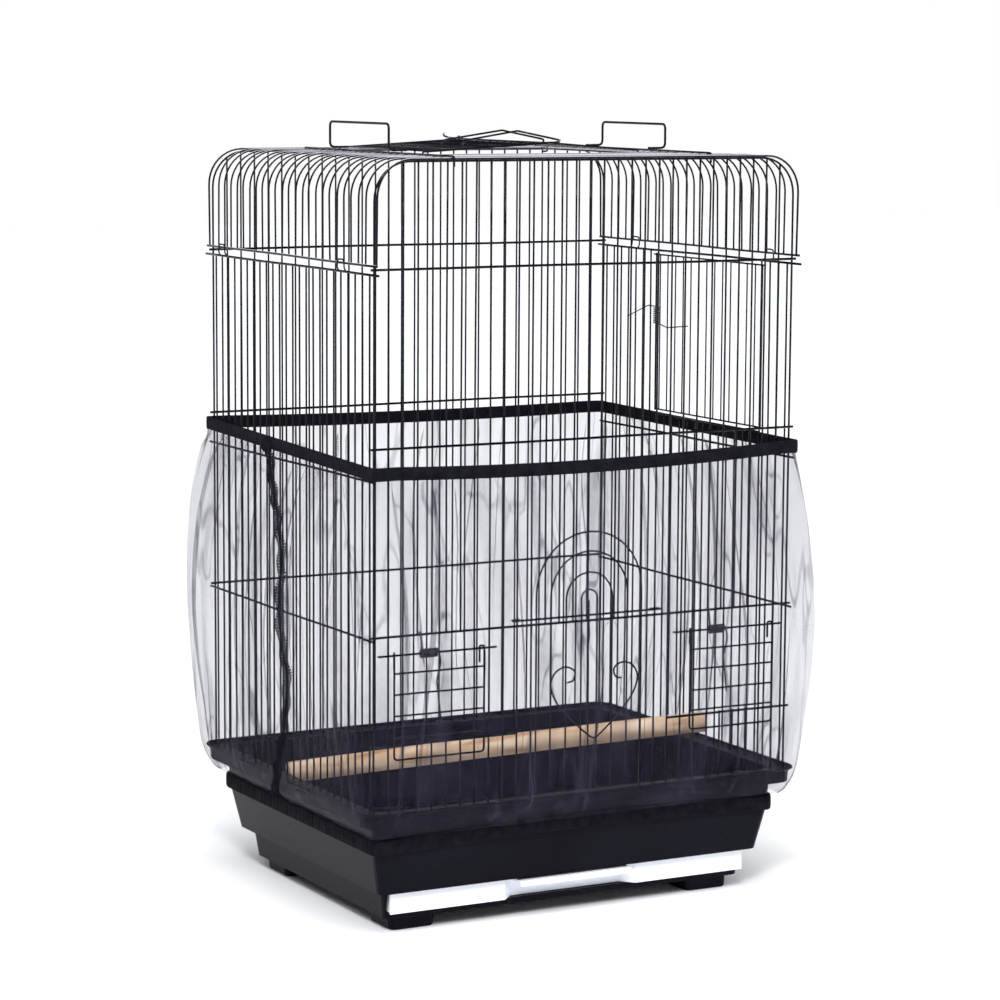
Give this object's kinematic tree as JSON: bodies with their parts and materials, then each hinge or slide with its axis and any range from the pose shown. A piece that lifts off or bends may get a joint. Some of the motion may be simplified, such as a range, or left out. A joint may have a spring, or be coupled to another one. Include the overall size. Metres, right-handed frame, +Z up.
{
  "type": "bird cage",
  "caption": "Rectangular wire bird cage with domed roof edges, opening doors, pull-out tray base on four feet, and an elastic seed-catcher net round its lower half.",
  "frame": {"origin": "on the floor, under the middle of the cage's bounding box", "axes": "+Z up, +X to the cage's right seen from the front, front with the arched door and tray at -Y"},
  "size_m": [0.494, 0.408, 0.7306],
  "materials": {
    "black_wire": "satin black coating on wire",
    "spring_steel": "dark spring wire",
    "black_plastic": "semi-gloss moulded plastic",
    "white_plastic": "smooth moulded plastic",
    "perch_wood": "bare turned softwood",
    "net_tulle": "fine black tulle, see-through",
    "net_elastic": "stitched casing with elastic"
  },
  "bodies": {
    "cage": {"base_tub": "black_plastic", "base_frame": "black_plastic", "foot_front_left": "black_plastic", "foot_front_right": "black_plastic", "foot_back_left": "black_plastic", "foot_back_right": "black_plastic", "front_panel": "black_wire", "back_panel": "black_wire", "left_panel": "black_wire", "right_panel": "black_wire", "roof_panel": "black_wire", "roof_rod_left": "black_wire", "roof_rod_right": "black_wire", "carry_handle_left": "black_wire", "carry_handle_right": "black_wire", "feeder_rod_left": "black_wire", "feeder_rod_right": "black_wire", "perch": "perch_wood", "net_hem": "net_elastic", "feeder_spring_left": "spring_steel", "feeder_spring_right": "spring_steel", "side_door_spring": "spring_steel"},
    "tray_body": {"tray": "white_plastic"},
    "arch_gate": {"arch_door": "black_wire", "door_heart": "black_wire"},
    "feeder_flap_left": {"feeder_door_left": "black_wire"},
    "feeder_flap_right": {"feeder_door_right": "black_wire"},
    "nest_gate": {"side_door": "black_wire"},
    "hatch_leaf_left": {"hatch_left": "black_wire"},
    "hatch_leaf_right": {"hatch_right": "black_wire"},
    "net_body": {"net_band": "net_elastic", "net_fabric": "net_tulle"}
  },
  "joints": [
    {"name": "tray_slide", "type": "slide", "parent": "cage", "child": "tray_body", "axis": [0, -1, 0], "range_m": [0, 0.24]},
    {"name": "arch_lift", "type": "slide", "parent": "cage", "child": "arch_gate", "axis": [0, 0, 1], "range_m": [0, 0.15]},
    {"name": "feeder_hinge_left", "type": "hinge", "parent": "cage", "child": "feeder_flap_left", "pos_m": [-0.155, -0.1786, 0.263], "axis": [-1, 0, 0], "range_deg": [0, 110], "stiffness_Nm_per_rad": 0.02, "springref_deg": -28.65, "deforming": ["feeder_spring_left"]},
    {"name": "feeder_hinge_right", "type": "hinge", "parent": "cage", "child": "feeder_flap_right", "pos_m": [0.153, -0.1786, 0.2614], "axis": [-1, 0, 0], "range_deg": [0, 110], "stiffness_Nm_per_rad": 0.02, "springref_deg": -28.65, "deforming": ["feeder_spring_right"]},
    {"name": "nest_hinge", "type": "hinge", "parent": "cage", "child": "nest_gate", "pos_m": [0.2202, 0.0725, 0.5185], "axis": [0, 0, 1], "range_deg": [0, 110], "stiffness_Nm_per_rad": 0.02, "springref_deg": -28.65, "deforming": ["side_door_spring"]},
    {"name": "hatch_hinge_left", "type": "hinge", "parent": "cage", "child": "hatch_leaf_left", "pos_m": [-0.111, 0.02175, 0.7012], "axis": [0, -1, 0], "range_deg": [0, 100]},
    {"name": "hatch_hinge_right", "type": "hinge", "parent": "cage", "child": "hatch_leaf_right", "pos_m": [0.111, 0.02175, 0.7012], "axis": [0, 1, 0], "range_deg": [0, 100]},
    {"name": "net_slide", "type": "slide", "parent": "cage", "child": "net_body", "axis": [0, 0, -1], "range_m": [0, 0.29], "deforming": ["net_fabric"]}
  ]
}
